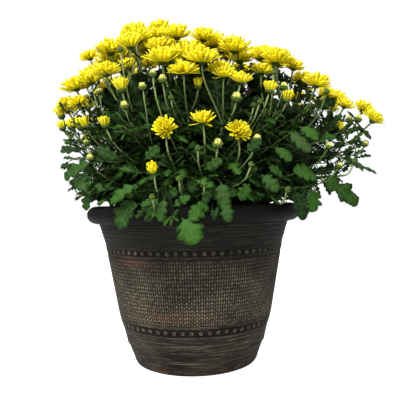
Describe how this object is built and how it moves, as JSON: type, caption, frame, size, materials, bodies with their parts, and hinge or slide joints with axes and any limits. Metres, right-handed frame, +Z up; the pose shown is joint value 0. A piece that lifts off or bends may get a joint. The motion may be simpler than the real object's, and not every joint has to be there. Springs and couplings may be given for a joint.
{
  "type": "potted garden chrysanthemum",
  "caption": "Bushy garden chrysanthemum in full yellow flower, growing in a round bronze-toned plastic planter with a curled rim and a woven-texture wall.",
  "frame": {"origin": "centre of the pot's flat underside, on the surface that the pot stands on", "axes": "+Z up along the pot's axis, +X towards the side where the plant spreads furthest, -Y towards the front"},
  "size_m": [0.3831, 0.3089, 0.399],
  "materials": {
    "pot": "satin",
    "soil": "matte",
    "foliage": "matte",
    "petals": "matte"
  },
  "bodies": {
    "root": {"pot": "pot", "potting_soil": "soil", "leafy_stem_01": "foliage", "leafy_stem_02": "foliage", "leafy_stem_03": "foliage", "leafy_stem_04": "foliage", "leafy_stem_05": "foliage", "leafy_stem_06": "foliage", "leafy_stem_07": "foliage", "leafy_stem_08": "foliage", "leafy_stem_09": "foliage", "leafy_stem_10": "foliage", "leafy_stem_11": "foliage", "leafy_stem_12": "foliage", "leafy_stem_13": "foliage", "leafy_stem_14": "foliage", "leafy_stem_15": "foliage", "leafy_stem_16": "foliage", "leafy_stem_17": "foliage", "leafy_stem_18": "foliage", "leafy_stem_19": "foliage", "leafy_stem_20": "foliage", "leafy_stem_21": "foliage", "leafy_stem_22": "foliage", "leafy_stem_23": "foliage", "flower_spray_01": "petals", "flower_spray_02": "petals", "flower_spray_03": "petals", "flower_spray_04": "petals", "flower_spray_05": "petals", "flower_spray_06": "petals", "flower_spray_07": "petals", "flower_spray_08": "petals", "flower_spray_09": "petals", "flower_spray_10": "petals", "flower_spray_11": "petals", "flower_spray_12": "petals", "flower_spray_13": "petals", "flower_spray_14": "petals", "flower_spray_15": "petals", "flower_spray_16": "petals", "flower_spray_17": "petals", "flower_spray_18": "petals", "flower_spray_19": "petals", "flower_spray_20": "petals", "flower_spray_21": "petals", "flower_spray_22": "petals", "flower_spray_23": "petals", "side_shoot_01": "foliage", "side_shoot_02": "foliage", "side_shoot_03": "foliage", "side_shoot_04": "foliage", "side_shoot_05": "foliage", "side_shoot_06": "foliage", "side_shoot_07": "foliage", "side_shoot_08": "foliage", "side_shoot_09": "foliage", "side_shoot_10": "foliage", "side_shoot_11": "foliage"}
  },
  "joints": []
}
